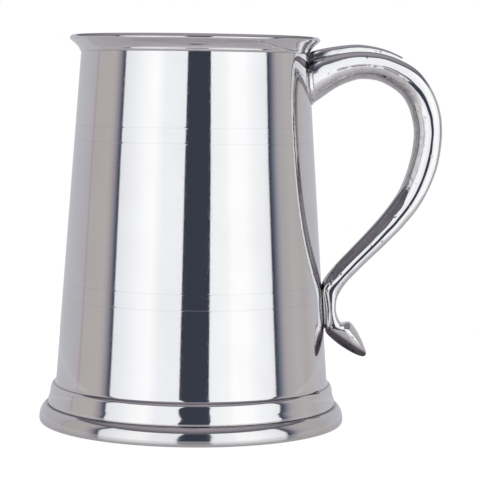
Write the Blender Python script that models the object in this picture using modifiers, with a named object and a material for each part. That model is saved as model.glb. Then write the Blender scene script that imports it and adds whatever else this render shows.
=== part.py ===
"""One-pint pewter tankard: tapered drum, stepped base and scroll handle.

The drum's axis is Z, the tankard stands on z = 0, and the handle lies in the
XZ plane towards +X. Lengths are in metres.
"""

import math

import bmesh
import bpy
import numpy as np

MM = 0.001

# Drum: a cone with an everted lip, four scored lines and a soldered floor.
TURN_STEPS = 72
RIM_Z = 125.2 * MM
LIP_RADIUS = 40.4 * MM
LIP_CREASE_Z = 119.4 * MM
WALL_RADIUS_AT_TABLE = 45.13 * MM
WALL_TAPER = 0.0705
WALL_THICKNESS = 1.5 * MM
DRUM_BOTTOM_Z = 6.7 * MM
SCORED_LINES_Z = (96.2 * MM, 91.4 * MM, 45.7 * MM, 40.7 * MM)
SCORE_WIDTH = 0.5 * MM
SCORE_DEPTH = 0.2 * MM

# Base: floor disc, stepped skirt and standing foot.
FLOOR_TOP_Z = 6.4 * MM
FLOOR_THICKNESS = 2.0 * MM
FLOOR_RADIUS = 44.5 * MM
SKIRT_TOP_Z = 14.0 * MM
SKIRT_BOTTOM_Z = 6.05 * MM
FOOT_TOP_Z = 5.75 * MM
FOOT_RADIUS = 49.6 * MM
STANDING_EDGE_OUTER = 47.8 * MM
STANDING_EDGE_INNER = 44.6 * MM

# Handle: hollow casting, its terminal, the raised strap and the joint plate.
GAP = 0.3 * MM
PLATE_THICKNESS = 1.2 * MM
SOLDER_THICKNESS = 0.6 * MM
CASTING_THICKNESS = 1.7 * MM
HANDLE_SECTIONS = 46
CAVITY_SECTIONS = 24
CAVITY_END = 13.0
STRAP_SECTIONS = 18
TERMINAL_SECTIONS = 22

# Stations along the handle, in millimetres: the point on its inner face (x, z),
# the point on its back (x, z), and half its width across Y.
SCROLL_STATIONS = (
    (36.2, 102.0, 30.2, 115.2, 7.2),
    (41.0, 105.7, 36.0, 116.9, 7.0),
    (46.3, 109.3, 42.0, 118.9, 6.7),
    (51.0, 111.3, 49.0, 120.4, 6.4),
    (54.5, 111.9, 54.5, 120.75, 6.2),
    (59.5, 111.3, 62.2, 119.7, 6.1),
    (64.8, 108.6, 70.5, 115.9, 6.1),
    (68.0, 105.4, 75.5, 110.5, 6.0),
    (70.2, 100.4, 79.0, 102.9, 6.0),
    (71.2, 94.0, 80.05, 94.0, 5.9),
    (70.0, 85.5, 78.5, 83.0, 5.7),
    (66.9, 76.5, 74.1, 72.6, 5.4),
    (62.3, 69.4, 68.2, 64.6, 5.0),
    (56.8, 62.8, 61.9, 58.0, 4.7),
    (50.7, 56.2, 55.5, 51.7, 4.4),
    (45.9, 50.9, 50.6, 46.6, 4.1),
    (42.45, 45.7, 48.2, 43.0, 3.8),
    (43.35, 41.0, 47.05, 40.2, 3.5),
    (43.85, 37.45, 46.8, 37.45, 3.3),
)
TERMINAL_STATIONS = (
    (43.85, 37.15, 46.8, 37.15, 3.3),
    (43.9, 34.6, 47.3, 34.9, 3.2),
    (43.7, 31.6, 48.2, 33.1, 3.3),
    (43.55, 29.5, 49.1, 32.4, 3.6),
    (46.0, 26.9, 50.5, 32.9, 4.1),
    (48.9, 24.7, 51.8, 32.6, 4.4),
    (52.3, 22.7, 53.9, 29.8, 4.1),
    (54.6, 21.75, 55.6, 26.7, 3.4),
    (56.1, 21.5, 56.8, 23.8, 2.2),
    (56.8, 21.9, 57.05, 22.7, 1.1),
)
# The strap's height above the handle's back and half its width, in
# millimetres, each at a handle station from the drum outwards.
STRAP_STATIONS = ((3.2, 3.0), (3.1, 3.2), (2.8, 3.3), (2.35, 3.3), (2.2, 3.1), (1.75, 2.4), (0.5, 0.8))
STRAP_START = 0.35
STRAP_END = 5.5
# Solder under the scroll: inner x, outer x and z in millimetres, downwards.
LOWER_SOLDER_STATIONS = (
    (42.52, 42.74, 41.8),
    (42.62, 43.0, 40.3),
    (42.84, 43.44, 37.2),
    (43.00, 43.5, 35.0),
    (43.17, 43.34, 32.6),
)
LOWER_SOLDER_HALF_WIDTH = 2.6 * MM

# The plate that joins the scroll to the drum, and the solder round it: heights
# and widths in millimetres.
PLATE_LOW = 104.1
PLATE_SHOULDER = 114.6
PLATE_TOP = 116.7
PLATE_HALF_WIDTH = 7.6
BEAD_TOP = 114.9
BEAD_REACH = 0.8

# Half outlines across the handle's thickness u (-0.5 inner face, 0.5 back) and
# half width v: a shallow inner face, a crease, a full side and a round back.
CREASE_U = -0.2
WIDEST_U = 0.07
BACK_RISE = 0.5 - WIDEST_U

PEWTER = (0.70, 0.68, 0.69)


def fresh_scene():
    for thing in list(bpy.data.objects):
        bpy.data.objects.remove(thing, do_unlink=True)
    made = []
    for title in ("pewter_tankard", "cutters"):
        collection = bpy.data.collections.new(title)
        bpy.context.scene.collection.children.link(collection)
        made.append(collection)
    return made


PARTS, CUTTERS = fresh_scene()


def metal(title, tone, roughness):
    material = bpy.data.materials.new(title)
    material.use_nodes = True
    shader = material.node_tree.nodes["Principled BSDF"]
    shader.inputs["Base Color"].default_value = (*[part * tone for part in PEWTER], 1)
    shader.inputs["Metallic"].default_value = 1
    shader.inputs["Roughness"].default_value = roughness
    return material


def as_object(title, mesh, material=None):
    """Links a part, or a cutter when it has no material."""
    thing = bpy.data.objects.new(title, mesh)
    if material:
        mesh.materials.append(material)
        PARTS.objects.link(thing)
    else:
        CUTTERS.objects.link(thing)
        thing.hide_render = True
        thing.display_type = "WIRE"
    return thing


def turned(title, profile, material=None, solid_to_axis=False):
    """Turns a profile of (radius, z) about Z. It runs down the outer side."""
    count = len(profile)
    edges = [(i, i + 1) for i in range(count - 1)]
    if not solid_to_axis:
        edges.append((count - 1, 0))
    mesh = bpy.data.meshes.new(title)
    mesh.from_pydata([(radius, 0, z) for radius, z in profile], edges, [])
    thing = as_object(title, mesh, material)
    screw = thing.modifiers.new("Turn", "SCREW")
    screw.axis = "Z"
    screw.steps = screw.render_steps = TURN_STEPS
    screw.use_merge_vertices = True
    screw.merge_threshold = 0.00001
    screw.use_smooth_shade = True
    return thing


def half_loft(title, sections, material=None):
    """Joins half sections, open at y = 0, and mirrors them into one closed body.

    Each section runs from the inner face's middle round the -Y side to the
    back's middle.
    """
    sides = len(sections[0])
    form = bmesh.new()
    rings = [[form.verts.new(point) for point in section] for section in sections]
    for near, far in zip(rings, rings[1:]):
        for i in range(sides - 1):
            form.faces.new((near[i], far[i], far[i + 1], near[i + 1]))
    form.faces.new(rings[0])
    form.faces.new(rings[-1][::-1])
    mesh = bpy.data.meshes.new(title)
    form.to_mesh(mesh)
    form.free()
    mesh.shade_smooth()
    mesh.set_sharp_from_angle(angle=math.radians(35))
    thing = as_object(title, mesh, material)
    mirror = thing.modifiers.new("Mirror", "MIRROR")
    mirror.use_axis = (False, True, False)
    mirror.merge_threshold = 0.00001
    return thing


def boolean(thing, operation, other):
    cut = thing.modifiers.new(operation.title(), "BOOLEAN")
    cut.operation = operation
    cut.solver = "EXACT"
    cut.object = other


def smooth_path(stations, count, first=0.0, last=None):
    """Points on a cubic through the stations, evenly spaced by station number."""
    rows = np.array(stations, float)
    last = len(rows) - 1 if last is None else last
    slopes = np.gradient(rows, axis=0)
    path = []
    for place in np.linspace(first, last, count):
        i = min(int(place), len(rows) - 2)
        t = place - i
        a, b = rows[i], rows[i + 1]
        path.append(
            a * (2 * t**3 - 3 * t**2 + 1)
            + slopes[i] * (t**3 - 2 * t**2 + t)
            + b * (3 * t**2 - 2 * t**3)
            + slopes[i + 1] * (t**3 - t**2)
        )
    return path


def scroll_outline():
    """The half section's points (u, v) as fractions of thickness and half width."""
    inner = [(-0.5, 0.0), (-0.425, 0.45), (CREASE_U, 0.9)]
    side = [(-0.06, 0.975), (WIDEST_U, 1.0)]
    angles = (25, 48, 70, 90)
    back = [
        (WIDEST_U + BACK_RISE * math.sin(math.radians(a)), math.cos(math.radians(a)))
        for a in angles
    ]
    back[-1] = (0.5, 0.0)
    return inner + side + back


def place_section(station, outline, inset=0.0):
    """Half section at one station, shrunk by inset all round."""
    inner = np.array(station[0:2]) * MM
    back = np.array(station[2:4]) * MM
    across = back - inner
    thickness = np.linalg.norm(across)
    across = across / thickness
    inner = inner + across * inset
    thickness = thickness - 2 * inset
    half_width = station[4] * MM - inset
    points = []
    for u, v in outline:
        x, z = inner + across * thickness * (u + 0.5)
        points.append((x, -half_width * v, z))
    return points


def wall(z):
    """The drum's outer radius at a height, away from its lip."""
    return WALL_RADIUS_AT_TABLE - WALL_TAPER * z


def drum():
    outer = [
        (38.7 * MM, RIM_Z),
        (39.6 * MM, 125.1 * MM),
        (40.15 * MM, 124.75 * MM),
        (LIP_RADIUS, 124.2 * MM),
        (40.25 * MM, 123.7 * MM),
        (39.6 * MM, 123.15 * MM),
        (38.7 * MM, 122.4 * MM),
        (37.9 * MM, 121.5 * MM),
        (37.2 * MM, 120.45 * MM),
        (wall(LIP_CREASE_Z), LIP_CREASE_Z),
    ]
    for z in SCORED_LINES_Z:
        above, below = z + SCORE_WIDTH / 2, z - SCORE_WIDTH / 2
        outer += [(wall(above), above), (wall(z) - SCORE_DEPTH, z), (wall(below), below)]
    outer.append((wall(DRUM_BOTTOM_Z), DRUM_BOTTOM_Z))
    inner = [
        (wall(DRUM_BOTTOM_Z) - WALL_THICKNESS, DRUM_BOTTOM_Z),
        (wall(119.0 * MM) - WALL_THICKNESS, 119.0 * MM),
        (35.75 * MM, 121.2 * MM),
        (36.7 * MM, 123.2 * MM),
        (37.8 * MM, 124.7 * MM),
    ]
    return turned("drum", outer + inner, metal("drum_pewter", 1.0, 0.06))


def base():
    half_land = FLOOR_THICKNESS / 2
    floor_middle = FLOOR_TOP_Z - half_land
    turned(
        "floor_disc",
        [
            (0, FLOOR_TOP_Z),
            (FLOOR_RADIUS - 0.3 * MM, FLOOR_TOP_Z),
            (FLOOR_RADIUS, floor_middle + 0.7 * MM),
            (FLOOR_RADIUS, floor_middle - 0.7 * MM),
            (FLOOR_RADIUS - 0.3 * MM, floor_middle - half_land),
            (0, floor_middle - half_land),
        ],
        metal("floor_pewter", 0.92, 0.2),
        solid_to_axis=True,
    )
    inside = wall(DRUM_BOTTOM_Z) - WALL_THICKNESS - GAP
    seat = FLOOR_TOP_Z + GAP
    turned(
        "floor_solder_fillet",
        [
            (inside - 0.45 * MM, seat + 2.2 * MM),
            (inside - 0.15 * MM, seat + 2.1 * MM),
            (inside, seat),
            (inside - 2.1 * MM, seat),
            (inside - 2.1 * MM, seat + 0.3 * MM),
            (inside - 1.2 * MM, seat + 0.8 * MM),
        ],
        metal("floor_solder", 0.85, 0.32),
    )
    turned(
        "base_skirt",
        [
            (44.68 * MM, SKIRT_TOP_Z),
            (44.9 * MM, 13.4 * MM),
            (45.15 * MM, 13.0 * MM),
            (45.2 * MM, 12.75 * MM),
            (45.5 * MM, 12.35 * MM),
            (45.75 * MM, 11.8 * MM),
            (45.88 * MM, 11.0 * MM),
            (45.92 * MM, 9.6 * MM),
            (46.05 * MM, 8.75 * MM),
            (46.4 * MM, 8.35 * MM),
            (46.75 * MM, 7.7 * MM),
            (46.82 * MM, 7.0 * MM),
            (46.72 * MM, 6.3 * MM),
            (46.5 * MM, SKIRT_BOTTOM_Z),
            (wall(SKIRT_BOTTOM_Z) + GAP, SKIRT_BOTTOM_Z),
            (wall(SKIRT_TOP_Z) + GAP, SKIRT_TOP_Z),
        ],
        metal("skirt_pewter", 1.0, 0.07),
    )
    ledge = FLOOR_TOP_Z - FLOOR_THICKNESS - GAP
    turned(
        "foot_ring",
        [
            (46.8 * MM, FOOT_TOP_Z),
            (47.15 * MM, 6.25 * MM),
            (47.55 * MM, 6.55 * MM),
            (48.0 * MM, 6.45 * MM),
            (48.5 * MM, 5.95 * MM),
            (48.95 * MM, 5.15 * MM),
            (49.3 * MM, 4.2 * MM),
            (49.52 * MM, 3.3 * MM),
            (FOOT_RADIUS, 2.5 * MM),
            (49.45 * MM, 1.6 * MM),
            (49.1 * MM, 0.8 * MM),
            (48.5 * MM, 0.2 * MM),
            (STANDING_EDGE_OUTER, 0),
            (STANDING_EDGE_INNER, 0),
            (44.1 * MM, 0.5 * MM),
            (43.5 * MM, 2.4 * MM),
            (42.4 * MM, 3.3 * MM),
            (42.4 * MM, ledge),
            (FLOOR_RADIUS + GAP + 0.1 * MM, ledge),
            (FLOOR_RADIUS + GAP + 0.1 * MM, FOOT_TOP_Z),
        ],
        metal("foot_pewter", 1.0, 0.08),
    )
    hidden = 42.4 * MM - GAP
    turned(
        "foot_solder_fillet",
        [
            (hidden, ledge),
            (hidden, ledge - 0.9 * MM),
            (hidden - 0.5 * MM, ledge - 0.8 * MM),
            (hidden - 1.5 * MM, ledge - 0.3 * MM),
            (hidden - 1.8 * MM, ledge),
        ],
        metal("foot_solder", 0.85, 0.35),
    )


def shell_cutter(title, inner_gap, thickness):
    """A cone shell that follows the drum behind the handle's upper joint."""
    top = 123.0 * MM
    bottom = 98.0 * MM
    return turned(
        title,
        [
            (wall(top) + inner_gap + thickness, top),
            (wall(bottom) + inner_gap + thickness, bottom),
            (wall(bottom) + inner_gap, bottom),
            (wall(top) + inner_gap, top),
        ],
    )


def prism(title, outline, material=None):
    """An outline of (half width, z) in millimetres, drawn along X across the joint."""
    ends = (33.0 * MM, 44.0 * MM)
    sections = [[(x, -half * MM, z * MM) for half, z in outline] for x in ends]
    return half_loft(title, sections, material)


def joint_outline(grow, top, corner):
    """Half outline of the upper joint: a tongue with a round lower end.

    It is grown outwards and closed at the top through one corner point.
    """
    low = PLATE_LOW - grow
    half = PLATE_HALF_WIDTH + grow
    return [
        (0.0, low),
        (0.33 * half, low + 0.25),
        (0.66 * half, low + 1.2),
        (0.89 * half, low + 3.1),
        (half, low + 5.6),
        (half, low + 8.4 + grow),
        (0.94 * half, PLATE_SHOULDER),
        corner,
        (0.0, top),
    ]


def upper_joint():
    plate_outline = joint_outline(0.0, PLATE_TOP, (0.66 * PLATE_HALF_WIDTH, PLATE_TOP - 0.4))
    plate = prism("upper_handle_mount", plate_outline, metal("mount_pewter", 0.98, 0.12))
    boolean(plate, "INTERSECT", shell_cutter("plate_shell", GAP, PLATE_THICKNESS))

    bead_corner = (0.9 * (PLATE_HALF_WIDTH + BEAD_REACH), BEAD_TOP)
    bead_outline = joint_outline(BEAD_REACH, BEAD_TOP, bead_corner)
    bead = prism("upper_solder_bead", bead_outline, metal("bead_solder", 0.9, 0.25))
    window_top = BEAD_TOP + 4.0
    window_corner = (0.9 * PLATE_HALF_WIDTH, window_top)
    window = prism("bead_window", joint_outline(GAP / MM, window_top, window_corner))
    boolean(bead, "DIFFERENCE", window)
    boolean(bead, "INTERSECT", shell_cutter("bead_shell", GAP, SOLDER_THICKNESS))


def drum_clearance(title, distance, profile_top):
    """A solid that clears the drum and its lip by the distance."""
    bottom = 96.0 * MM
    profile = [(0, profile_top[0][1])]
    profile += profile_top
    profile.append((wall(LIP_CREASE_Z) + distance, LIP_CREASE_Z))
    profile.append((wall(bottom) + distance, bottom))
    profile.append((0, bottom))
    return turned(title, profile, solid_to_axis=True)


def handle():
    outline = scroll_outline()
    scroll = half_loft(
        "handle_scroll",
        [place_section(s, outline) for s in smooth_path(SCROLL_STATIONS, HANDLE_SECTIONS)],
        metal("handle_pewter", 1.0, 0.1),
    )
    bored = smooth_path(SCROLL_STATIONS, CAVITY_SECTIONS, 0.0, CAVITY_END)
    cavity = half_loft(
        "handle_cavity", [place_section(s, outline[::2], CASTING_THICKNESS) for s in bored]
    )
    boolean(scroll, "DIFFERENCE", cavity)
    stand_off = GAP + PLATE_THICKNESS + GAP
    clear_top = [(wall(126.0 * MM) + stand_off, 126.0 * MM)]
    boolean(scroll, "DIFFERENCE", drum_clearance("plate_clearance", stand_off, clear_top))

    half_loft(
        "handle_terminal",
        [place_section(s, outline) for s in smooth_path(TERMINAL_STATIONS, TERMINAL_SECTIONS)],
        metal("terminal_pewter", 1.0, 0.1),
    )
    pad = ((-0.5, 0.0), (-0.5, 0.88), (-0.3, 1.0), (0.3, 1.0), (0.5, 0.88), (0.5, 0.0))
    half_loft(
        "lower_handle_solder",
        [
            place_section((near, z, far, z, LOWER_SOLDER_HALF_WIDTH / MM), pad)
            for near, far, z in LOWER_SOLDER_STATIONS
        ],
        metal("lower_solder", 0.9, 0.25),
    )


def thumb_strap():
    """The raised strap that lies along the top of the scroll and tapers away."""
    frames = smooth_path(SCROLL_STATIONS, STRAP_SECTIONS, STRAP_START, STRAP_END)
    sizes = smooth_path(STRAP_STATIONS, STRAP_SECTIONS, STRAP_START, STRAP_END)
    sections = []
    for frame, (height, half_width) in zip(frames, sizes):
        inner, back = np.array(frame[0:2]), np.array(frame[2:4])
        thickness = np.linalg.norm(back - inner)
        up = (back - inner) / thickness
        middle = back - up * thickness * BACK_RISE
        seat = [
            thickness * BACK_RISE * math.sqrt(1 - (half_width * part / frame[4]) ** 2) + GAP / MM
            for part in (0.0, 0.6, 1.0)
        ]
        crown = seat[0] - GAP / MM + height
        edge = seat[2] + 0.55 * (height - GAP / MM)
        rim = [(0.0, seat[0]), (0.6, seat[1]), (1.0, seat[2]), (1.0, edge)]
        rim += [(0.78, crown - 0.16 * height), (0.42, crown - 0.04 * height), (0.0, crown)]
        section = []
        for across, rise in rim:
            x, z = middle + up * rise
            section.append((x * MM, -half_width * across * MM, z * MM))
        sections.append(section)
    strap = half_loft("thumb_strap", sections, metal("strap_pewter", 1.0, 0.1))
    reach = GAP + 0.1 * MM
    lip = [
        (40.0 * MM + reach, 125.5 * MM),
        (40.0 * MM + reach, 123.1 * MM),
        (38.7 * MM + reach, 122.0 * MM),
        (37.9 * MM + reach, 121.1 * MM),
    ]
    boolean(strap, "DIFFERENCE", drum_clearance("strap_clearance", reach, lip))


drum()
base()
upper_joint()
handle()
thumb_strap()
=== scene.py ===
"""Looks of the pewter tankard: fine meshes, pewter materials, light tent and camera.

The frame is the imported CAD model: +Z up, metres, the drum's axis on Z, the
handle in the XZ plane towards +X. Profiles and stations are in millimetres.
"""

import math

import bmesh
import bpy
import numpy as np
from mathutils import Euler, Matrix, Vector, noise


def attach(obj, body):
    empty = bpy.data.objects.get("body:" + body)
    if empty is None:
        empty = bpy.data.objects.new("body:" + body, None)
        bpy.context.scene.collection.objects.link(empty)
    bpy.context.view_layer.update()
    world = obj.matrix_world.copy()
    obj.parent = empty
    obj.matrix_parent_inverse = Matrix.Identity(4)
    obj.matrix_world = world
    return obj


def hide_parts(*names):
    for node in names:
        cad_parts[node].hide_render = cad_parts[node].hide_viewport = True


# The noise is the same on every run.
noise.seed_set(7)

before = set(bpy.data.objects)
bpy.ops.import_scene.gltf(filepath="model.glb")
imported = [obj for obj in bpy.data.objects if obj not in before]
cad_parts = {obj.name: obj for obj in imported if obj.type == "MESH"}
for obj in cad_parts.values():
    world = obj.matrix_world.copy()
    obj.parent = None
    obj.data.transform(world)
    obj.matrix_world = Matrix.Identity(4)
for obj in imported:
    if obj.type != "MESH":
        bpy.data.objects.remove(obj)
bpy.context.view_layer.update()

MM = 0.001
BODY = "root"

# Columns round a turned piece, millimetres between the rows of a curve, and the
# angle from which an edge is sharp.
TURN_STEPS = 288
CURVE_SPACING = 0.16
SHARP_ANGLE = math.radians(28)

# The drum's outer cone: its radius if it reached down to the table, and how much
# of that is lost per millimetre of height.
WALL_RADIUS_AT_TABLE = 45.13
WALL_TAPER = 0.0705
WALL_THICKNESS = 1.5
DRUM_BOTTOM = 6.7
SCORED_LINES = (96.2, 91.4, 45.7, 40.7)


def wall(z):
    """The drum's outer radius at a height, in millimetres."""
    return WALL_RADIUS_AT_TABLE - WALL_TAPER * z


# ---------------------------------------------------------------- materials

# Inputs of a colour mix node.
MIX_FIRST = 6
MIX_SECOND = 7

# Linear colours of the metal in its dull and bright clouds, of a pit, and of the painted shade.
DULL_METAL = (0.687, 0.673, 0.677)
BRIGHT_METAL = (0.710, 0.706, 0.709)
PIT_COLOUR = (0.30, 0.27, 0.28)
PAINTED_SHADE = (0.10, 0.085, 0.105)

# Noise scales, in cycles per metre.
CLOUD_SCALE = 55.0
SMEAR_SCALE = 260.0
RIPPLE_SCALE = 210.0
PATCH_SCALE = 120.0
PIT_SCALE = 430.0
TURNING_SCALE = 4200.0
RAGGED_SCALE = 600.0
PAPER_SCALE = 900.0

# Scratches: turn of the direction, width and length in metres, and depth in millimetres.
FIRST_SCRATCHES = ((0.35, 1.25, 0.6), 0.00016, 0.006)
SECOND_SCRATCHES = ((1.9, 0.4, 1.1), 0.00013, 0.005)
SCRATCH_DEPTH = 0.0006

# Roughness that a full mark adds; the last one goes where shade is painted. The one for turning
# lines is per millimetre of depth.
SCRATCH_ROUGHNESS = 0.05
TURNING_ROUGHNESS = 12.0
PIT_ROUGHNESS = 0.22
PAINTED_SHADE_ROUGHNESS = 0.12


class Nodes:
    """Adds nodes to a tree and links them by the name or number of a socket."""

    def __init__(self, tree):
        self.tree = tree

    def add(self, kind, inputs=None, **settings):
        node = self.tree.nodes.new(kind)
        for name, value in settings.items():
            setattr(node, name, value)
        for name, value in (inputs or {}).items():
            if isinstance(value, bpy.types.NodeSocket):
                self.tree.links.new(value, node.inputs[name])
            else:
                node.inputs[name].default_value = value
        return node

    def maths(self, operation, first, second=None):
        inputs = {0: first}
        if second is not None:
            inputs[1] = second
        return self.add("ShaderNodeMath", inputs, operation=operation).outputs[0]

    def plus(self, first, second):
        return self.maths("ADD", first, second)

    def minus(self, first, second):
        return self.maths("SUBTRACT", first, second)

    def times(self, first, second):
        return self.maths("MULTIPLY", first, second)

    def split(self, vector):
        return self.add("ShaderNodeSeparateXYZ", {0: vector}).outputs

    def stretch(self, vector, location=(0, 0, 0), rotation=(0, 0, 0), scale=(1, 1, 1)):
        inputs = {"Vector": vector, "Location": location, "Rotation": rotation, "Scale": scale}
        return self.add("ShaderNodeMapping", inputs).outputs[0]

    def noise(self, vector, scale, detail=2.0, roughness=0.5):
        inputs = {"Vector": vector, "Scale": scale, "Detail": detail, "Roughness": roughness}
        return self.add("ShaderNodeTexNoise", inputs).outputs[0]

    def spread(self, value, low, high, to_low=0.0, to_high=1.0):
        """Maps low..high to to_low..to_high, clamped."""
        inputs = {"Value": value, "From Min": low, "From Max": high}
        inputs.update({"To Min": to_low, "To Max": to_high})
        return self.add("ShaderNodeMapRange", inputs).outputs[0]

    def blend(self, factor, first, second):
        """Mixes two colours, each a socket or its red, green and blue."""
        inputs = {0: factor}
        for slot, colour in ((MIX_FIRST, first), (MIX_SECOND, second)):
            linked = isinstance(colour, bpy.types.NodeSocket)
            inputs[slot] = colour if linked else (*colour, 1)
        return self.add("ShaderNodeMix", inputs, data_type="RGBA").outputs[2]


def blank_material(title):
    """An empty node material, its nodes and the object's own coordinates."""
    material = bpy.data.materials.new(title)
    material.use_nodes = True
    material.node_tree.nodes.clear()
    nodes = Nodes(material.node_tree)
    return material, nodes, nodes.add("ShaderNodeTexCoord").outputs["Object"]


def line_shade(heights, half_width):
    """Painted shade in lines round the body, in its creases, grooves and joints, at heights in
    millimetres.
    """

    def amount(nodes, place):
        z = nodes.split(place)[2]
        total = None
        for height in heights:
            away = nodes.maths("ABSOLUTE", nodes.minus(z, height * MM))
            line = nodes.spread(away, half_width * 0.5 * MM, half_width * MM, 1.0, 0.0)
            total = line if total is None else nodes.maths("MAXIMUM", total, line)
        return total

    return amount


def corner_shade(centre, size):
    """Painted shade in an oval pocket with a ragged edge: its centre and half sizes."""

    def amount(nodes, place):
        scale = [1 / (part * MM) for part in size]
        location = [-part / half for part, half in zip(centre, size)]
        local = nodes.stretch(place, location=location, scale=scale)
        reach = nodes.add("ShaderNodeVectorMath", {0: local}, operation="LENGTH")
        ragged = nodes.spread(nodes.noise(place, RAGGED_SCALE), 0.3, 0.7, -0.12, 0.12)
        return nodes.spread(nodes.plus(reach.outputs["Value"], ragged), 0.65, 1.05, 1.0, 0.0)

    return amount


def side_shade(point, outward, depth):
    """Painted shade on the side that faces outward, down to a depth in millimetres."""

    def amount(nodes, place):
        level = sum(a * b for a, b in zip(point, outward)) * MM
        inputs = {0: place, 1: outward}
        along = nodes.add("ShaderNodeVectorMath", inputs, operation="DOT_PRODUCT")
        below = nodes.minus(level, along.outputs["Value"])
        return nodes.spread(below, depth * 0.55 * MM, depth * MM, 1.0, 0.0)

    return amount


def scratches(nodes, place, turn, width, length):
    """Thin wiping marks: a noise drawn out along one direction, cut to its crests."""
    drawn = nodes.stretch(place, rotation=turn, scale=(1 / width, 1 / width, 1 / length))
    return nodes.spread(nodes.noise(drawn, 1.0, detail=1.0), 0.64, 0.74)


def turning_lines(nodes, place):
    """The rings that a spinning tool leaves: a noise drawn out round the axis."""
    x, y, z = nodes.split(place)
    radius = nodes.maths("SQRT", nodes.plus(nodes.times(x, x), nodes.times(y, y)))
    rings = {
        0: nodes.times(radius, TURNING_SCALE),
        1: nodes.times(z, TURNING_SCALE),
        2: nodes.times(nodes.maths("ARCTAN2", y, x), 1.5),
    }
    return nodes.noise(nodes.add("ShaderNodeCombineXYZ", rings).outputs[0], 1.0)


def casting_pits(nodes, place):
    """Small pits in loose patches."""
    cells = nodes.add("ShaderNodeTexVoronoi", {"Vector": place, "Scale": PIT_SCALE})
    pits = nodes.spread(cells.outputs["Distance"], 0.05, 0.26, 1.0, 0.0)
    return nodes.times(pits, nodes.spread(nodes.noise(place, PATCH_SCALE), 0.5, 0.66))


def pewter(title, tone, roughness, ripple, pitted=0.0, turned=0.0, shades=()):
    """Polished pewter, with shade painted into its colour by its shades. Its slow ripple, pits
    and turning lines are depths in millimetres.
    """
    material, nodes, place = blank_material(title)
    marks = nodes.maths(
        "MAXIMUM",
        scratches(nodes, place, *FIRST_SCRATCHES),
        scratches(nodes, place, *SECOND_SCRATCHES),
    )

    cloud = nodes.spread(nodes.noise(place, CLOUD_SCALE, 3.0, 0.6), 0.3, 0.7)
    dull = [part * tone for part in DULL_METAL]
    bright = [part * tone for part in BRIGHT_METAL]
    colour = nodes.blend(cloud, dull, bright)

    drawn = nodes.stretch(place, rotation=(0.4, 0.9, 0.2), scale=(1.0, 1.0, 0.3))
    smear = nodes.noise(drawn, SMEAR_SCALE)
    rough = nodes.spread(smear, 0.3, 0.72, roughness * 0.8, roughness * 1.3)
    rough = nodes.plus(rough, nodes.times(marks, SCRATCH_ROUGHNESS))

    height = nodes.times(marks, -SCRATCH_DEPTH)
    waves = nodes.noise(place, RIPPLE_SCALE, detail=1.0)
    height = nodes.plus(height, nodes.times(waves, ripple))

    if turned:
        lines = turning_lines(nodes, place)
        height = nodes.plus(height, nodes.times(lines, turned))
        rough = nodes.plus(rough, nodes.times(lines, turned * TURNING_ROUGHNESS))
    if pitted:
        pits = casting_pits(nodes, place)
        height = nodes.plus(height, nodes.times(pits, -pitted))
        rough = nodes.plus(rough, nodes.times(pits, PIT_ROUGHNESS))
        colour = nodes.blend(pits, colour, PIT_COLOUR)
    # Painted shade: each shade mask darkens the colour towards a dark grey and roughens it a
    # little.
    for amount, strength in shades:
        share = nodes.times(amount(nodes, place), strength)
        colour = nodes.blend(share, colour, PAINTED_SHADE)
        rough = nodes.plus(rough, nodes.times(share, PAINTED_SHADE_ROUGHNESS))

    bump = nodes.add("ShaderNodeBump", {"Strength": 1.0, "Distance": MM, "Height": height})
    shader = nodes.add(
        "ShaderNodeBsdfPrincipled",
        {"Base Color": colour, "Metallic": 1.0, "Roughness": rough, "Normal": bump.outputs[0]},
    )
    nodes.add("ShaderNodeOutputMaterial", {"Surface": shader.outputs[0]})
    return material


# Painted shade: under the lip and the strap's root, inside the grip, under the strap's end,
# below the scroll, in the scored lines, the lip crease and the skirt creases, and along the
# skirt's lower edge. On the tail's underside it is a painted dark reflection.
UNDER_LIP = corner_shade((36.95, 0.0, 118.6), (1.7, 34.0, 6.8))
INSIDE_GRIP = corner_shade((55.0, 0.0, 95.0), (19.2, 30.0, 19.2))
STRAP_END_CORNER = corner_shade((70.2, 0.0, 116.4), (1.6, 4.0, 1.4))
BELOW_SCROLL = corner_shade((42.3, 0.0, 44.6), (1.3, 5.0, 1.5))
IN_SCORED_LINES = line_shade(SCORED_LINES, 0.3)
IN_LIP_CREASE = line_shade((119.68,), 0.14)
IN_SKIRT_CREASES = line_shade((12.62, 5.8), 0.22)
ABOVE_FOOT = line_shade((5.8,), 0.15)
UNDER_TAIL = side_shade((50.0, 0.0, 25.6), (-0.56, 0.0, -0.83), 2.2)

# Each pewter below paints the shades it lists into its colour.
DRUM_PEWTER = pewter(
    "polished_drum",
    tone=1.0,
    roughness=0.035,
    ripple=0.0006,
    shades=((IN_SCORED_LINES, 0.05), (IN_LIP_CREASE, 0.35), (UNDER_LIP, 0.85)),
)
INSIDE_PEWTER = pewter(
    "inside_drum",
    tone=1.0,
    roughness=0.32,
    ripple=0.001,
    turned=0.0012,
)
SPUN_PEWTER = pewter(
    "polished_spinning",
    tone=1.0,
    roughness=0.045,
    ripple=0.0009,
    turned=0.0005,
    shades=((IN_SKIRT_CREASES, 0.6),),
)
FOOT_PEWTER = pewter(
    "polished_foot",
    tone=0.93,
    roughness=0.07,
    ripple=0.0012,
    turned=0.0006,
    shades=((ABOVE_FOOT, 0.5),),
)
CAST_PEWTER = pewter(
    "polished_casting",
    tone=1.0,
    roughness=0.06,
    ripple=0.004,
    pitted=0.035,
    shades=(
        (UNDER_LIP, 0.9),
        (BELOW_SCROLL, 0.8),
        (STRAP_END_CORNER, 0.5),
        (INSIDE_GRIP, 0.5),
    ),
)
TAIL_PEWTER = pewter(
    "polished_tail",
    tone=1.0,
    roughness=0.07,
    ripple=0.004,
    pitted=0.05,
    shades=((UNDER_TAIL, 0.95),),
)
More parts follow.
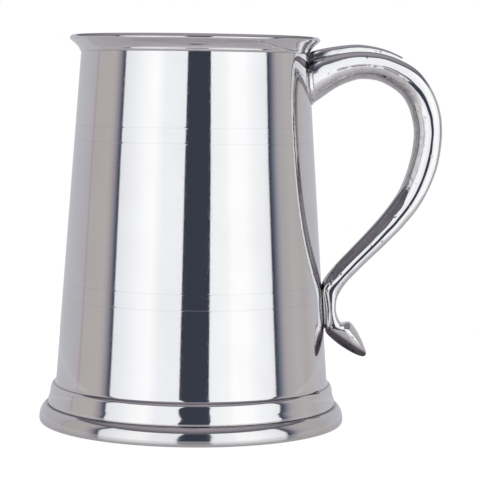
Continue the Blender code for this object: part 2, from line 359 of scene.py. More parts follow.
SOLDER = pewter(
    "solder",
    tone=0.9,
    roughness=0.2,
    ripple=0.006,
    shades=((UNDER_LIP, 0.7), (BELOW_SCROLL, 0.8)),
)


# ------------------------------------------------------------------- meshes


def between(first, second, start, end, at):
    """The point at a parameter, on the line that is first at start and second at end."""
    share = (at - start) / (end - start)
    return first * (1 - share) + second * share


def lengths_along(rows):
    """How far along a line of points each one lies."""
    return np.concatenate([[0], np.cumsum(np.linalg.norm(np.diff(rows, axis=0), axis=1))])


def smooth_run(points, spacing=CURVE_SPACING):
    """Samples a centripetal Catmull-Rom curve through points of any dimension."""
    rows = np.array(points, float)
    if len(rows) == 2:
        return rows
    rows = np.vstack([2 * rows[0] - rows[1], rows, 2 * rows[-1] - rows[-2]])
    out = []
    for i in range(1, len(rows) - 2):
        p = rows[i - 1 : i + 3]
        chords = np.linalg.norm(np.diff(p, axis=0), axis=1)
        t = np.concatenate([[0], np.cumsum(np.sqrt(chords))])
        steps = max(2, math.ceil(chords[1] / spacing))
        for at in np.linspace(t[1], t[2], steps, endpoint=False):
            a = [between(p[k], p[k + 1], t[k], t[k + 1], at) for k in range(3)]
            b = [between(a[k], a[k + 1], t[k], t[k + 2], at) for k in range(2)]
            out.append(between(b[0], b[1], t[1], t[2], at))
    out.append(rows[-2])
    return np.array(out)


def joined(*runs, spacing=CURVE_SPACING):
    """Several runs end to end. Each run is smooth, and they meet in corners."""
    points = [smooth_run(runs[0], spacing)]
    points += [smooth_run(run, spacing)[1:] for run in runs[1:]]
    return np.vstack(points)


def smooth_with_edges(mesh):
    mesh.shade_smooth()
    mesh.set_sharp_from_angle(angle=SHARP_ANGLE)


def finish_piece(title, verts, faces, material, slot, *nodes):
    """A visible piece that takes the place of CAD nodes."""
    mesh = bpy.data.meshes.new(title)
    mesh.from_pydata([tuple(v) for v in verts], [], faces)
    mesh.validate()
    smooth_with_edges(mesh)
    mesh.materials.append(material)
    piece = bpy.data.objects.new(title, mesh)
    bpy.context.scene.collection.objects.link(piece)
    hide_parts(*nodes)
    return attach(piece, BODY)


def turned_mesh(profile, closed=True):
    """Turns (radius, z) rows about Z. A row on the axis becomes a single point."""
    turns = np.linspace(0, 2 * math.pi, TURN_STEPS, endpoint=False)
    verts, rings = [], []
    for radius, z in profile:
        if radius == 0:
            rings.append([len(verts)] * TURN_STEPS)
            verts.append((0, 0, z * MM))
            continue
        rings.append(list(range(len(verts), len(verts) + TURN_STEPS)))
        verts += [(radius * MM * math.cos(a), radius * MM * math.sin(a), z * MM) for a in turns]
    pairs = list(zip(rings, rings[1:]))
    if closed:
        pairs.append((rings[-1], rings[0]))
    faces = []
    for upper, lower in pairs:
        for k in range(TURN_STEPS):
            following = (k + 1) % TURN_STEPS
            corners = [upper[k], lower[k], lower[following], upper[following]]
            faces.append(list(dict.fromkeys(corners)))
    return verts, faces


def turned_piece(title, profile, material, slot, node, closed=True):
    verts, faces = turned_mesh(profile, closed)
    return finish_piece(title, verts, faces, material, slot, node)


def loft_mesh(rings):
    """Joins closed rings of equal length, (x, y, z) rows, and caps both ends."""
    size = len(rings[0])
    verts = np.vstack(rings)
    faces = [list(range(size)), [len(verts) - 1 - k for k in range(size)]]
    for i in range(len(rings) - 1):
        near, far = i * size, (i + 1) * size
        for k in range(size):
            following = (k + 1) % size
            faces.append([near + k, far + k, far + following, near + following])
    return verts, faces


def recalculate(piece):
    """Turns every face of a closed piece outwards."""
    form = bmesh.new()
    form.from_mesh(piece.data)
    bmesh.ops.recalc_face_normals(form, faces=form.faces)
    form.to_mesh(piece.data)
    form.free()


def rippled(verts, height, scale, seed):
    """Moves points by a slow noise, as polishing leaves a casting."""
    out = []
    for v in verts:
        place = Vector(v) * scale + Vector((seed, 0, 0))
        out.append(Vector(v) + noise.noise_vector(place) * height * MM)
    return out


def lofted_piece(title, rings, material, slot, node, waves=None):
    """A lofted piece. Waves are the height, scale and seed of its ripple."""
    verts, faces = loft_mesh(rings)
    if waves:
        verts = rippled(verts, *waves)
    piece = finish_piece(title, verts, faces, material, slot, node)
    recalculate(piece)
    return piece


def cut(piece, profile):
    """Takes a turned solid away from a piece."""
    verts, faces = turned_mesh(profile, closed=False)
    mesh = bpy.data.meshes.new("cutter")
    mesh.from_pydata([tuple(v) for v in verts], [], faces)
    cutter = bpy.data.objects.new("cutter", mesh)
    bpy.context.scene.collection.objects.link(cutter)
    recalculate(cutter)
    trim = piece.modifiers.new("Trim", "BOOLEAN")
    trim.operation = "DIFFERENCE"
    trim.solver = "EXACT"
    trim.object = cutter
    bpy.context.view_layer.update()
    trimmed = piece.evaluated_get(bpy.context.evaluated_depsgraph_get())
    mesh = bpy.data.meshes.new_from_object(trimmed)
    piece.modifiers.remove(trim)
    piece.data = mesh
    smooth_with_edges(mesh)
    bpy.data.objects.remove(cutter)


# --------------------------------------------------------------------- drum

LIP_FLARE = (
    (38.35, 124.9),
    (38.9, 124.98),
    (39.5, 124.92),
    (40.03, 124.62),
    (40.3, 124.22),
    (40.36, 123.98),
    (40.3, 123.73),
    (40.05, 123.38),
    (39.5, 122.92),
    (38.75, 122.3),
    (38.05, 121.62),
    (37.55, 121.05),
    (37.3, 120.62),
    (37.2, 120.28),
)
LIP_NECK = ((37.2, 120.28), (37.02, 119.98), (36.8, 119.72))
CREASE_BOTTOM = 119.62

# The lip's inner side, and how far the wall thickens just below it.
INNER_LIP = ((35.75, 121.3), (36.6, 123.0), (37.6, 124.4), (38.35, 124.9))
INNER_WALL_TOP = 117.0
INNER_LIP_START = 119.0
INNER_LIP_SWELL = 0.14

SCORE_HALF_WIDTH = 0.25
SCORE_DEPTH = 0.03

# Rows near the end of a straight run keep its shading straight.
END_ROW = 0.1
NEXT_ROW = 0.4
MIDDLE_ROWS = 8


def wall_run(top, bottom):
    """Straight rows down the drum, close together at both ends."""
    middle = np.linspace(top - NEXT_ROW, bottom + NEXT_ROW, MIDDLE_ROWS)
    places = [top, top - END_ROW, *middle, bottom + END_ROW, bottom]
    return np.array([(wall(z), z) for z in places])


def scored_line(z):
    """A shallow round groove in the drum."""
    edge, slope = SCORE_HALF_WIDTH + 0.04, SCORE_HALF_WIDTH * 0.55
    rows = ((edge, 0.0), (slope, 0.5), (0.0, 1.0), (-slope, 0.5), (-edge, 0.0))
    groove = [(wall(z + rise) - SCORE_DEPTH * depth, z + rise) for rise, depth in rows]
    return smooth_run(groove, 0.06)


def drum_outside():
    runs = [joined(LIP_FLARE, LIP_NECK, [LIP_NECK[-1], (wall(CREASE_BOTTOM), CREASE_BOTTOM)])]
    below = CREASE_BOTTOM
    for z in SCORED_LINES:
        runs.append(wall_run(below, z + SCORE_HALF_WIDTH + END_ROW))
        runs.append(scored_line(z))
        below = z - SCORE_HALF_WIDTH - END_ROW
    runs.append(wall_run(below, DRUM_BOTTOM))
    return np.vstack(runs)


def drum_inside():
    bottom = wall(DRUM_BOTTOM) - WALL_THICKNESS
    top = wall(INNER_LIP_START) - WALL_THICKNESS
    start = (top + INNER_LIP_SWELL, INNER_WALL_TOP)
    return joined(
        [(bottom, DRUM_BOTTOM), start],
        [start, (top, INNER_LIP_START), (top + 0.13, 120.2), *INNER_LIP],
    )


def make_drum():
    outside = drum_outside()
    profile = np.vstack([outside, drum_inside()[:-1]])
    piece = turned_piece("drum_body", profile, DRUM_PEWTER, "rolled_pewter", "drum")
    piece.data.materials.append(INSIDE_PEWTER)
    first_inside = len(outside) - 1
    for polygon in piece.data.polygons:
        ring = min(polygon.vertices) // TURN_STEPS
        if ring >= first_inside:
            polygon.material_index = 1


# --------------------------------------------------------------------- base

SKIRT_LIP = ((44.24, 13.38), (44.4, 13.02), (44.62, 12.74), (44.78, 12.6))
SKIRT_SIDE = (
    (44.78, 12.6),
    (44.98, 12.55),
    (45.28, 12.36),
    (45.55, 12.05),
    (45.72, 11.74),
    (45.83, 11.42),
    (45.9, 11.05),
    (45.97, 10.4),
    (46.07, 9.6),
    (46.19, 9.0),
    (46.33, 8.5),
)
SKIRT_STEP = ((46.33, 8.5), (46.45, 8.18), (46.56, 7.82))
SKIRT_ROLL = (
    (46.56, 7.82),
    (46.68, 7.46),
    (46.76, 7.1),
    (46.8, 6.7),
    (46.82, 6.35),
    (46.8, 6.08),
)
SKIRT_UNDERSIDE = ((46.8, 6.08), (46.72, 5.86), (46.5, 5.78))
SKIRT_TOP = 13.7
SKIRT_BOTTOM = 5.78

FOOT_SIDE = (
    (46.7, 5.75),
    (47.1, 5.86),
    (47.6, 5.72),
    (48.05, 5.4),
    (48.45, 4.97),
    (48.78, 4.5),
    (49.05, 4.02),
    (49.27, 3.48),
    (49.43, 2.85),
    (49.53, 2.15),
    (49.58, 1.45),
    (49.58, 0.9),
    (49.44, 0.4),
    (49.1, 0.1),
    (48.6, 0.0),
)
FOOT_HOLLOW = ((44.6, 0.0), (44.1, 0.5), (43.5, 2.4), (42.4, 3.3))
FOOT_SEAT = (42.4, 4.1)
FOOT_BACK = 44.9

FLOOR_TOP = ((0, 6.55), (20.0, 6.5), (38.0, 6.4), (44.5, 6.4))
FLOOR_BOTTOM = 4.4
FLOOR_SPACING = 1.5

# The fillet inside the cup: steps inwards from the wall, and heights.
FLOOR_FILLET = ((2.4, 6.4), (1.3, 6.85), (0.5, 7.7), (0.0, 9.0))
FOOT_FILLET = ((42.5, 3.2), (41.7, 3.5), (40.6, 4.1), (40.2, 4.4))


def make_base():
    skirt = joined(
        [(wall(SKIRT_TOP) - 0.02, SKIRT_TOP), *SKIRT_LIP],
        SKIRT_SIDE,
        SKIRT_STEP,
        SKIRT_ROLL,
        SKIRT_UNDERSIDE,
        [SKIRT_UNDERSIDE[-1], (wall(SKIRT_BOTTOM) + 0.02, SKIRT_BOTTOM)],
    )
    turned_piece("skirt", skirt, SPUN_PEWTER, "spun_pewter", "base_skirt")

    top_edge = (FOOT_BACK, FOOT_SIDE[0][1])
    foot = joined(
        [top_edge, FOOT_SIDE[0]],
        FOOT_SIDE,
        [FOOT_SIDE[-1], FOOT_HOLLOW[0]],
        FOOT_HOLLOW,
        [FOOT_HOLLOW[-1], FOOT_SEAT],
        [FOOT_SEAT, (FOOT_BACK, FOOT_SEAT[1])],
        [(FOOT_BACK, FOOT_SEAT[1]), top_edge],
    )[:-1]
    turned_piece("foot", foot, FOOT_PEWTER, "spun_pewter", "foot_ring")

    under_edge = (FLOOR_TOP[-1][0], FLOOR_BOTTOM)
    floor = joined(
        FLOOR_TOP,
        [FLOOR_TOP[-1], under_edge],
        [under_edge, (0, FLOOR_BOTTOM)],
        spacing=FLOOR_SPACING,
    )
    turned_piece("floor", floor, INSIDE_PEWTER, "rolled_pewter", "floor_disc", closed=False)

    inside = wall(6.6) - WALL_THICKNESS + 0.05
    curve = [(inside - inwards, z) for inwards, z in FLOOR_FILLET]
    corner = (inside, curve[0][1])
    fillet = joined([curve[-1], corner], [corner, curve[0]], curve)[:-1]
    turned_piece("floor_fillet", fillet, SOLDER, "pewter_solder", "floor_solder_fillet")

    corner = (FOOT_FILLET[0][0], FOOT_FILLET[-1][1])
    under = joined([corner, FOOT_FILLET[0]], FOOT_FILLET, [FOOT_FILLET[-1], corner])[:-1]
    turned_piece("foot_fillet", under, SOLDER, "pewter_solder", "foot_solder_fillet")


# ------------------------------------------------------------------- handle

# Stations: the point on the inner face (x, z), the point on the back (x, z) and
# half the width across Y.
SCROLL_STATIONS = (
    (36.2, 102.0, 30.2, 115.2, 7.2),
    (41.0, 105.7, 36.0, 116.9, 7.0),
    (46.3, 109.3, 42.0, 118.9, 6.7),
    (51.0, 111.3, 49.0, 120.4, 6.4),
    (54.5, 111.9, 54.5, 120.75, 6.2),
    (59.5, 111.3, 62.2, 119.7, 6.1),
    (64.8, 108.6, 70.5, 115.9, 6.1),
    (68.0, 105.4, 75.5, 110.5, 6.0),
    (70.2, 100.4, 79.0, 102.9, 6.0),
    (71.2, 94.0, 80.05, 94.0, 5.9),
    (70.0, 85.5, 78.5, 83.0, 5.7),
    (66.9, 76.5, 74.1, 72.6, 5.4),
    (62.3, 69.4, 68.2, 64.6, 5.0),
    (56.8, 62.8, 61.9, 58.0, 4.8),
    (50.7, 56.2, 55.5, 51.7, 4.6),
    (45.9, 50.9, 50.6, 46.6, 4.45),
    (42.1, 45.4, 48.2, 43.0, 4.32),
    (42.9, 41.0, 47.05, 40.2, 4.24),
    (43.45, 37.3, 46.8, 37.3, 4.2),
)
TERMINAL_STATIONS = (
    (43.45, 37.3, 46.8, 37.3, 4.2),
    (43.6, 34.6, 47.3, 34.9, 4.18),
    (43.7, 31.6, 48.2, 33.1, 4.2),
    (43.55, 29.5, 49.1, 32.4, 4.26),
    (46.0, 26.9, 50.5, 32.9, 4.36),
    (48.9, 24.7, 51.8, 32.6, 4.4),
    (52.3, 22.7, 53.9, 29.8, 4.15),
    (54.6, 21.75, 55.6, 26.7, 3.4),
    (56.1, 21.5, 56.8, 23.8, 2.2),
    (56.8, 21.9, 57.05, 22.7, 1.1),
)

# The strap's height and half width at the first scroll stations, and where it
# starts and ends, as station numbers.
STRAP_SIZES = (
    (3.2, 4.2),
    (3.1, 3.9),
    (2.8, 3.6),
    (2.35, 3.3),
    (2.1, 3.0),
    (1.4, 2.7),
    (0.8, 2.3),
)
STRAP_START = 0.35
STRAP_END = 5.5

# The strap's side, up from its foot: share of its half width and of its height.
# The foot itself is sunk into the handle by a share of the handle's thickness.
STRAP_FOOT_WIDTH = 1.06
STRAP_FOOT_DEPTH = 0.14
STRAP_SIDE = ((1.0, 0.0), (0.98, 0.4), (0.94, 0.72), (0.82, 0.9), (0.55, 0.98), (0.0, 1.0))

# Half outlines of the casting: depth from its inner face (0) to its back (1), and
# distance from its middle (0) to its side (1). First the inner face, then the rest.
SCROLL_OUTLINE = (
    ((0.0, 0.0), (0.03, 0.22), (0.13, 0.5), (0.31, 0.775)),
    (
        (0.31, 0.775),
        (0.38, 0.847),
        (0.46, 0.915),
        (0.55, 0.965),
        (0.60, 0.985),
        (0.65, 0.996),
        (0.71, 1.0),
        (0.80, 0.985),
        (0.87, 0.95),
        (0.93, 0.895),
        (0.97, 0.79),
        (0.992, 0.55),
        (1.0, 0.0),
    ),
)
UNDER_STRAP_OUTLINE = (
    ((0.0, 0.0), (0.03, 0.26), (0.12, 0.56), (0.27, 0.815)),
    (
        (0.27, 0.815),
        (0.35, 0.89),
        (0.44, 0.95),
        (0.52, 0.982),
        (0.60, 0.996),
        (0.68, 1.0),
        (0.78, 0.995),
        (0.86, 0.965),
        (0.92, 0.90),
        (0.965, 0.77),
        (0.99, 0.5),
        (1.0, 0.0),
    ),
)
LOWER_JOINT_OUTLINE = (
    ((0.0, 0.0), (0.008, 0.35), (0.02, 0.68), (0.04, 0.89)),
    (
        (0.04, 0.89),
        (0.08, 0.918),
        (0.16, 0.937),
        (0.24, 0.953),
        (0.32, 0.968),
        (0.40, 0.982),
        (0.46, 0.990),
        (0.52, 0.996),
        (0.60, 1.0),
        (0.75, 0.985),
        (0.85, 0.93),
        (0.93, 0.8),
        (0.98, 0.5),
        (1.0, 0.0),
    ),
)
TAIL_OUTLINE = (
    ((0.0, 0.0), (0.03, 0.42), (0.09, 0.7), (0.2, 0.88)),
    (
        (0.2, 0.88),
        (0.4, 0.955),
        (0.66, 0.99),
        (0.72, 0.96),
        (0.85, 0.75),
        (0.95, 0.45),
        (1.0, 0.0),
    ),
)
INNER_STEPS = 14
OUTER_STEPS = 60

# Between these station numbers one outline fades into the next.
STRAP_FADE = (5.5, 8.5)
LOWER_JOINT_FADE = (15.0, 17.0)
TAIL_FADE = (3.1, 4.6)

# The parting seam along the side: its depth in the outline, half width, cut and
# the station numbers between which it comes and goes.
SEAM_DEPTH = 0.5
SEAM_HALF_WIDTH = 0.018
SEAM_CUT = 0.045
SEAM_START = (1.2, 2.0)
SEAM_END = (5.5, 7.0)

# The turned solid that the handle's root is cut back by, and the strap's.
CUT_TOP = 128.0
CUT_BOTTOM = 96.0
ROOT_GAP = 0.5
STRAP_GAP = 0.1
UNDER_LIP_CUT = ((38.1, 121.2), (39.1, 122.3), (40.1, 123.2), (40.6, 124.0), (40.6, CUT_TOP))


def stations_at(stations, places):
    """Station rows at fractional station numbers, on a smooth cubic."""
    rows = np.array(stations, float)
    slopes = np.gradient(rows, axis=0)
    found = []
    for place in places:
        i = min(int(place), len(rows) - 2)
        t = place - i
        found.append(
            rows[i] * (2 * t**3 - 3 * t**2 + 1)
            + slopes[i] * (t**3 - 2 * t**2 + t)
            + rows[i + 1] * (3 * t**2 - 2 * t**3)
            + slopes[i + 1] * (t**3 - t**2)
        )
    return found


def even_places(stations, spacing, first, last):
    """Station numbers that lie evenly along the middle of the casting."""
    fine = np.linspace(first, last, 2000)
    rows = np.array(stations_at(stations, fine))
    along = lengths_along((rows[:, 0:2] + rows[:, 2:4]) / 2)
    count = max(2, round(along[-1] / spacing))
    return np.interp(np.linspace(0, along[-1], count + 1), along, fine)


def half_outline(runs):
    """Even samples of the two smooth runs of a half outline."""
    halves = []
    for points, count in zip(runs, (INNER_STEPS, OUTER_STEPS)):
        fine = smooth_run(points, 0.004)
        along = lengths_along(fine)
        steps = np.linspace(0, along[-1], count + 1)
        halves.append(np.column_stack([np.interp(steps, along, fine[:, k]) for k in (0, 1)]))
    return np.vstack([halves[0], halves[1][1:]])


def mirrored(half):
    """Both sides of a half section, (x, z, y) rows in millimetres, as one ring."""
    near = [(x, -y, z) for x, z, y in half]
    far = [(x, y, z) for x, z, y in half[-2:0:-1]]
    return np.array(near + far) * MM


def ring_at(station, outline):
    """The casting's whole section at a station."""
    inner, back, half_width = station[0:2], station[2:4], station[4]
    reach = back - inner
    return mirrored([(*(inner + reach * depth), half_width * out) for depth, out in outline])


def eased(value, span):
    """A smooth step from 0 to 1 over a span."""
    low, high = span
    t = min(max((value - low) / (high - low), 0.0), 1.0)
    return t * t * (3 - 2 * t)


def seamed(outline, place):
    """Cuts the fine, broken parting seam into an outline."""
    broken = max(0.0, 0.6 + 1.1 * noise.noise(Vector((place * 2.2, 4.0, 0.0))))
    strength = SEAM_CUT * broken * eased(place, SEAM_START) * (1 - eased(place, SEAM_END))
    notch = np.exp(-(((outline[:, 0] - SEAM_DEPTH) / SEAM_HALF_WIDTH) ** 2))
    return np.column_stack([outline[:, 0], outline[:, 1] - strength * notch])


def make_scroll():
    scroll = half_outline(SCROLL_OUTLINE)
    under_strap = half_outline(UNDER_STRAP_OUTLINE)
    lower_joint = half_outline(LOWER_JOINT_OUTLINE)
    places = even_places(SCROLL_STATIONS, 0.6, 0.0, len(SCROLL_STATIONS) - 1)
    rings = []
    for place, station in zip(places, stations_at(SCROLL_STATIONS, places)):
        top = 1 - eased(place, STRAP_FADE)
        low = eased(place, LOWER_JOINT_FADE)
        outline = scroll * (1 - top - low) + under_strap * top + lower_joint * low
        rings.append(ring_at(station, seamed(outline, place)))
    waves = (0.045, 230.0, 3.0)
    piece = lofted_piece("handle", rings, CAST_PEWTER, "cast_pewter", "handle_scroll", waves)
    root = [(wall(z) + ROOT_GAP, z) for z in (CUT_TOP, CUT_BOTTOM)]
    cut(piece, [(0, CUT_TOP), *root, (0, CUT_BOTTOM)])


def make_terminal():
    lower_joint = half_outline(LOWER_JOINT_OUTLINE)
    tail = half_outline(TAIL_OUTLINE)
    places = even_places(TERMINAL_STATIONS, 0.3, 0.0, len(TERMINAL_STATIONS) - 1)
    rings = []
    for place, station in zip(places, stations_at(TERMINAL_STATIONS, places)):
        share = eased(place, TAIL_FADE)
        rings.append(ring_at(station, lower_joint * (1 - share) + tail * share))
    waves = (0.03, 260.0, 9.0)
    lofted_piece("handle_tail", rings, TAIL_PEWTER, "cast_pewter", "handle_terminal", waves)


def resampled(ring, size):
    """A ring with a fixed number of points, evenly numbered."""
    old = np.linspace(0, 1, len(ring))
    new = np.linspace(0, 1, size)
    return np.column_stack([np.interp(new, old, ring[:, k]) for k in range(3)])


def strap_ring(station, height, half_width):
    """The strap's section, which stands on the back of the handle."""
    inner, back = station[0:2], station[2:4]
    thickness = np.linalg.norm(back - inner)
    up = (back - inner) / thickness
    foot = -STRAP_FOOT_DEPTH * thickness
    side = [(STRAP_FOOT_WIDTH, foot)] + [(out, height * rise) for out, rise in STRAP_SIDE]
    side = [(out * half_width, rise) for out, rise in smooth_run(side, 0.2)]
    half = [(0.0, foot), (0.5 * half_width, foot), *side]
    return mirrored([(*(back + up * rise), out) for out, rise in half])


def make_strap():
    places = even_places(SCROLL_STATIONS, 0.5, STRAP_START, STRAP_END)
    stations = stations_at(SCROLL_STATIONS, places)
    sizes = stations_at(STRAP_SIZES, places)
    rings = [strap_ring(station, *size) for station, size in zip(stations, sizes)]
    fewest = min(len(ring) for ring in rings)
    rings = [resampled(ring, fewest) for ring in rings]
    waves = (0.03, 240.0, 5.0)
    piece = lofted_piece("strap", rings, CAST_PEWTER, "cast_pewter", "thumb_strap", waves)
    under_lip = [(wall(z) + STRAP_GAP, z) for z in (CUT_BOTTOM, 119.4)]
    under_lip += UNDER_LIP_CUT
    cut(piece, [(0, CUT_TOP), *under_lip[::-1], (0, CUT_BOTTOM)])


# ------------------------------------------------------------------- joints

# The tongue: share of its half width, and height above its low end.
TONGUE_END = ((0.0, 0.0), (0.35, 0.25), (0.68, 1.35), (0.9, 3.3), (1.0, 5.8))
TONGUE_LOW = 104.1
TONGUE_HALF_WIDTH = 7.6

# How far a plate stands off the drum: rows of its rise and of how much of the
# edge rounding each one takes.
PLATE_ROWS = ((0.0, 0.0), (0.55, 0.0), (0.85, 0.35), (1.0, 1.0))
PLATE_GAP = -0.05

# The solder at the lower joint: its near side and far side (x), z and half width.
LOWER_SOLDER = (
    (41.7, 42.3, 44.9, 1.2),
    (41.8, 42.9, 43.2, 2.2),
    (42.0, 43.6, 40.3, 2.9),
    (42.2, 44.0, 37.2, 3.0),
    (42.4, 44.2, 34.0, 2.8),
    (42.6, 44.0, 31.6, 2.2),
    (42.7, 43.3, 30.6, 1.2),
)
LOWER_SOLDER_STEPS = 24


def tongue(grow, top):
    """Half outline of the joint plate, (half width, z), from its low end up."""
    low, half = TONGUE_LOW - grow, TONGUE_HALF_WIDTH + grow
    rows = [(out * half, low + rise) for out, rise in TONGUE_END]
    rows += [(half, low + 8.6 + grow), (0.93 * half, top - 2.0), (0.66 * half, top - 0.4)]
    return smooth_run([*rows, (0.0, top)], 0.5)


def shell_rings(outline, thickness, rounding):
    """Sections of a plate bent to the drum, with rounded edges."""
    middle_z = outline[:, 1].mean()
    rings = []
    for rise, rounded in PLATE_ROWS:
        inset = rounding * rounded
        half = []
        for out, z in outline:
            y = out * (1 - inset)
            z = middle_z + (z - middle_z) * (1 - inset * 0.7)
            radius = wall(z) + PLATE_GAP + thickness * rise
            half.append((math.sqrt(radius**2 - y**2), z, y))
        rings.append(mirrored(half))
    return rings


def make_joints():
    plate = shell_rings(tongue(0.0, 116.7), thickness=1.55, rounding=0.09)
    lofted_piece("joint_plate", plate, CAST_PEWTER, "cast_pewter", "upper_handle_mount")
    bead = shell_rings(tongue(0.8, 115.2), thickness=0.55, rounding=0.07)
    lofted_piece("joint_solder", bead, SOLDER, "pewter_solder", "upper_solder_bead")

    turn = np.linspace(0, 2 * math.pi, LOWER_SOLDER_STEPS, endpoint=False)
    rings = []
    for near, far, z, half in smooth_run(LOWER_SOLDER, 0.4):
        x = (near + far) / 2 + (far - near) / 2 * np.cos(turn)
        rings.append(np.column_stack([x, half * np.sin(turn), np.full(len(turn), z)]) * MM)
    lofted_piece("lower_solder", rings, SOLDER, "pewter_solder", "lower_handle_solder")


make_drum()
make_base()
make_scroll()
make_terminal()
make_strap()
make_joints()


# -------------------------------------------------------------------- stage

# The light tent round the tankard, in metres: a cylinder with a dome on it.
TENT_RADIUS = 0.235
TENT_WALL_TOP = 0.17
TENT_TOP = 0.42
TENT_BOTTOM = -0.002
DOME_STEPS = 24

# How strongly the tent shines. Its light levels are divided by this, because a
# colour ramp holds nothing above 1.
GLOW = 1.45

# Azimuth from the camera's side towards the handle, in degrees, and the light there.
TENT_BANDS = (
    (-180, (0.59, 0.60, 0.64)),
    (-120, (0.60, 0.60, 0.64)),
    (-105, (0.60, 0.56, 0.61)),
    (-103, (0.49, 0.43, 0.46)),
    (-101, (0.58, 0.555, 0.545)),
    (-80, (0.60, 0.565, 0.55)),
    (-75.6, (0.56, 0.51, 0.52)),
    (-71, (0.36, 0.34, 0.40)),
    (-67, (0.07, 0.09, 0.13)),
    (-65.4, (0.07, 0.09, 0.13)),
    (-64.8, (1.08, 1.10, 1.13)),
    (-54, (1.17, 1.21, 1.25)),
    (-43, (1.33, 1.34, 1.37)),
    (-33, (1.41, 1.41, 1.41)),
    (-24.5, (1.21, 1.25, 1.29)),
    (-8, (1.20, 1.22, 1.26)),
    (18, (1.22, 1.26, 1.28)),
    (29, (1.29, 1.31, 1.33)),
    (34, (1.41, 1.41, 1.42)),
    (45, (1.40, 1.40, 1.41)),
    (56, (1.24, 1.28, 1.31)),
    (65, (1.20, 1.21, 1.24)),
    (69.4, (1.08, 1.10, 1.15)),
    (70, (0.07, 0.08, 0.11)),
    (71.6, (0.07, 0.08, 0.11)),
    (74.7, (0.19, 0.21, 0.28)),
    (78, (0.40, 0.39, 0.43)),
    (82, (0.54, 0.51, 0.53)),
    (95, (0.60, 0.59, 0.58)),
    (108, (0.58, 0.55, 0.54)),
    (124, (0.61, 0.61, 0.65)),
    (180, (0.59, 0.60, 0.64)),
)

# The bands fan out a little with height: heights and the factors on azimuth there.
RIGHT_FAN = (0.1, 0.15, 1.0, 0.965)
LEFT_FAN = (0.02, 0.1, 1.03, 1.0)

# The dark slit between the front panels: its middle, half width and narrowing in
# degrees, its lean in degrees per metre, and the height where it turns paler.
SLIT_MIDDLE = 3.2
SLIT_HALF = 11.0
SLIT_NARROWING = 0.7
SLIT_LEAN = 15.0
SLIT_TOP = 0.182
SLIT_SOFTNESS = 0.008
SLIT_DARK = (0.055, 0.063, 0.09)
SLIT_ABOVE = (0.26, 0.24, 0.29)

# The lit walls end at this height, and the ceiling above them is dim.
PANEL_TOP = 0.195
CEILING_REACH = 0.15
CEILING_EDGE = (0.13, 0.13, 0.16)
CEILING_MIDDLE = (0.42, 0.39, 0.44)

# The spotlight's height and power, and how far from the axis it lights the mouth.
LAMP_HEIGHT = 0.4
LAMP_POWER = 5.0
LAMP_REACH = 0.029
LAMP_RADIUS = 0.006
MOUTH_HEIGHT = 0.1252

# The paper under the tankard, and the table top under it that reflections show.
PAPER_HEIGHT = -0.0004
TABLE_HEIGHT = -0.0008
PAPER_COLOUR = (0.3, 0.3, 0.3)
TABLE_COLOUR = (0.83, 0.81, 0.81)

CAMERA_PLACE = (0.01528, -0.612, 0.110)
CAMERA_PITCH = math.radians(90 - 4.748)
CAMERA_ROLL = math.radians(0.746)
CAMERA_LENS = 141.4


def stage_object(title, mesh, material):
    thing = bpy.data.objects.new(title, mesh)
    mesh.materials.append(material)
    bpy.context.scene.collection.objects.link(thing)
    return thing


def level(light):
    """A light level as a share of the tent's glow."""
    return [part / GLOW for part in light]


def band_light(nodes, azimuth, z):
    """The tent's vertical bands of light."""
    rightward = nodes.maths("GREATER_THAN", azimuth, 0.0)
    fans = {0: rightward, 2: nodes.spread(z, *LEFT_FAN), 3: nodes.spread(z, *RIGHT_FAN)}
    fan = nodes.add("ShaderNodeMix", fans).outputs[0]
    turn = nodes.plus(nodes.maths("DIVIDE", nodes.times(azimuth, fan), 2 * math.pi), 0.5)
    bands = nodes.add("ShaderNodeValToRGB", {0: turn})
    stops = bands.color_ramp.elements
    while len(stops) > 1:
        stops.remove(stops[-1])
    for i, (degrees, light) in enumerate(TENT_BANDS):
        place = degrees / 360 + 0.5
        stop = stops[0] if i == 0 else stops.new(place)
        stop.position = place
        stop.color = (*level(light), 1)
    return bands.outputs[0]


def slit_share(nodes, azimuth, z):
    """1 inside the dark slit and 0 outside it."""
    lean = nodes.times(z, math.radians(SLIT_LEAN))
    away = nodes.minus(nodes.minus(azimuth, math.radians(SLIT_MIDDLE)), lean)
    widest, narrowest = math.radians(SLIT_HALF), math.radians(SLIT_HALF - SLIT_NARROWING)
    half = nodes.spread(z, 0.1, 0.16, widest, narrowest)
    beyond = nodes.minus(nodes.maths("ABSOLUTE", away), half)
    return nodes.spread(beyond, -SLIT_SOFTNESS, SLIT_SOFTNESS, 1.0, 0.0)


def tent_material():
    material, nodes, place = blank_material("tent_light")
    x, y, z = nodes.split(place)
    azimuth = nodes.maths("ARCTAN2", x, nodes.times(y, -1.0))
    high = nodes.spread(z, SLIT_TOP - 0.01, SLIT_TOP + 0.01)
    slit = nodes.blend(high, level(SLIT_DARK), level(SLIT_ABOVE))
    walls = nodes.blend(slit_share(nodes, azimuth, z), band_light(nodes, azimuth, z), slit)
    rise = nodes.spread(z, PANEL_TOP, PANEL_TOP + CEILING_REACH)
    ceiling = nodes.blend(rise, level(CEILING_EDGE), level(CEILING_MIDDLE))
    above = nodes.spread(z, PANEL_TOP - 0.002, PANEL_TOP + 0.002)
    colour = nodes.blend(above, walls, ceiling)
    glow = nodes.add("ShaderNodeEmission", {"Color": colour, "Strength": GLOW})
    nodes.add("ShaderNodeOutputMaterial", {"Surface": glow.outputs[0]})
    return material


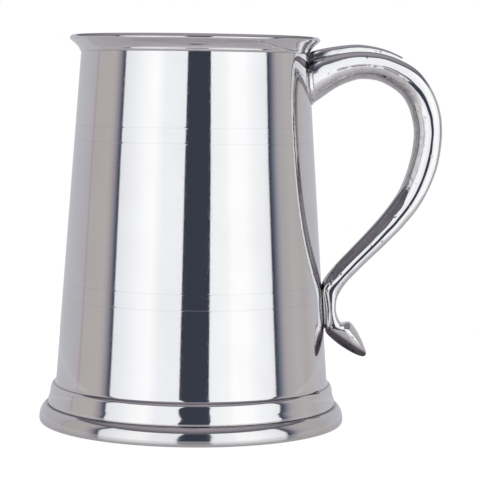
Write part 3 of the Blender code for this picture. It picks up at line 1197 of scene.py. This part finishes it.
def make_tent():
    rise = TENT_TOP - TENT_WALL_TOP
    dome = [
        (TENT_RADIUS * math.cos(a), TENT_WALL_TOP + rise * math.sin(a))
        for a in np.linspace(0, math.pi / 2, DOME_STEPS)
    ]
    profile = [(TENT_RADIUS, TENT_BOTTOM), *dome[:-1], (0, TENT_TOP)]
    rows = [(radius / MM, z / MM) for radius, z in reversed(profile)]
    verts, faces = turned_mesh(rows, closed=False)
    mesh = bpy.data.meshes.new("light_tent")
    mesh.from_pydata(verts, [], faces)
    mesh.shade_smooth()
    tent = stage_object("light_tent", mesh, tent_material())
    tent.visible_camera = False
    tent.visible_shadow = False


def make_lamp():
    """A spotlight that shines straight down, only into the mouth."""
    light = bpy.data.lights.new("mouth_lamp", "SPOT")
    light.energy = LAMP_POWER
    light.spot_size = 2 * math.atan2(LAMP_REACH, LAMP_HEIGHT - MOUTH_HEIGHT)
    light.spot_blend = 0.3
    light.shadow_soft_size = LAMP_RADIUS
    lamp = bpy.data.objects.new("mouth_lamp", light)
    lamp.location = (0, 0, LAMP_HEIGHT)
    lamp.visible_camera = False
    bpy.context.scene.collection.objects.link(lamp)


def pale(title, colour, roughness, glow_behind, glow_in_front):
    """A pale surface whose own light grows towards the camera's side."""
    material, nodes, place = blank_material(title)
    grain = nodes.noise(place, PAPER_SCALE, 3.0)
    rough = nodes.spread(grain, 0.3, 0.7, roughness * 0.9, roughness * 1.1)
    forward = nodes.times(nodes.split(place)[1], -1.0)
    glow = nodes.spread(forward, 0.05, 0.16, glow_behind, glow_in_front)
    shader = nodes.add(
        "ShaderNodeBsdfPrincipled",
        {
            "Base Color": (*colour, 1),
            "Roughness": rough,
            "Emission Color": (1, 0.98, 1, 1),
            "Emission Strength": glow,
        },
    )
    nodes.add("ShaderNodeOutputMaterial", {"Surface": shader.outputs[0]})
    return material


def disc(title, radius, z, material):
    verts, faces = turned_mesh([(0, z / MM), (radius / MM, z / MM)], closed=False)
    mesh = bpy.data.meshes.new(title)
    mesh.from_pydata(verts, [], faces)
    return stage_object(title, mesh, material)


def make_floor():
    """White paper for the camera, and a pale table that only reflections show."""
    paper = pale("white_paper", PAPER_COLOUR, 0.6, 0.95, 1.0)
    floor = disc("floor_paper", TENT_RADIUS - 0.004, PAPER_HEIGHT, paper)
    floor.visible_glossy = False
    floor.visible_diffuse = False
    wood = pale("pale_table", TABLE_COLOUR, 0.14, 0.2, 0.38)
    table = disc("table_top", TENT_RADIUS - 0.002, TABLE_HEIGHT, wood)
    table.visible_camera = False


def make_world():
    world = bpy.data.worlds.new("studio")
    bpy.context.scene.world = world
    world.use_nodes = True
    background = world.node_tree.nodes["Background"].inputs
    background["Color"].default_value = (1, 1, 1, 1)
    background["Strength"].default_value = 1.0


def make_camera():
    data = bpy.data.cameras.new("camera")
    data.lens = CAMERA_LENS
    data.sensor_width = 36.0
    data.clip_start = 0.01
    data.clip_end = 20.0
    camera = bpy.data.objects.new("camera", data)
    place = Matrix.Translation(CAMERA_PLACE)
    pitch = Euler((CAMERA_PITCH, 0, 0)).to_matrix().to_4x4()
    camera.matrix_world = place @ pitch @ Matrix.Rotation(CAMERA_ROLL, 4, "Z")
    bpy.context.scene.collection.objects.link(camera)
    bpy.context.scene.camera = camera


make_tent()
make_lamp()
make_floor()
make_world()
make_camera()
bpy.context.scene.view_settings.view_transform = "Standard"
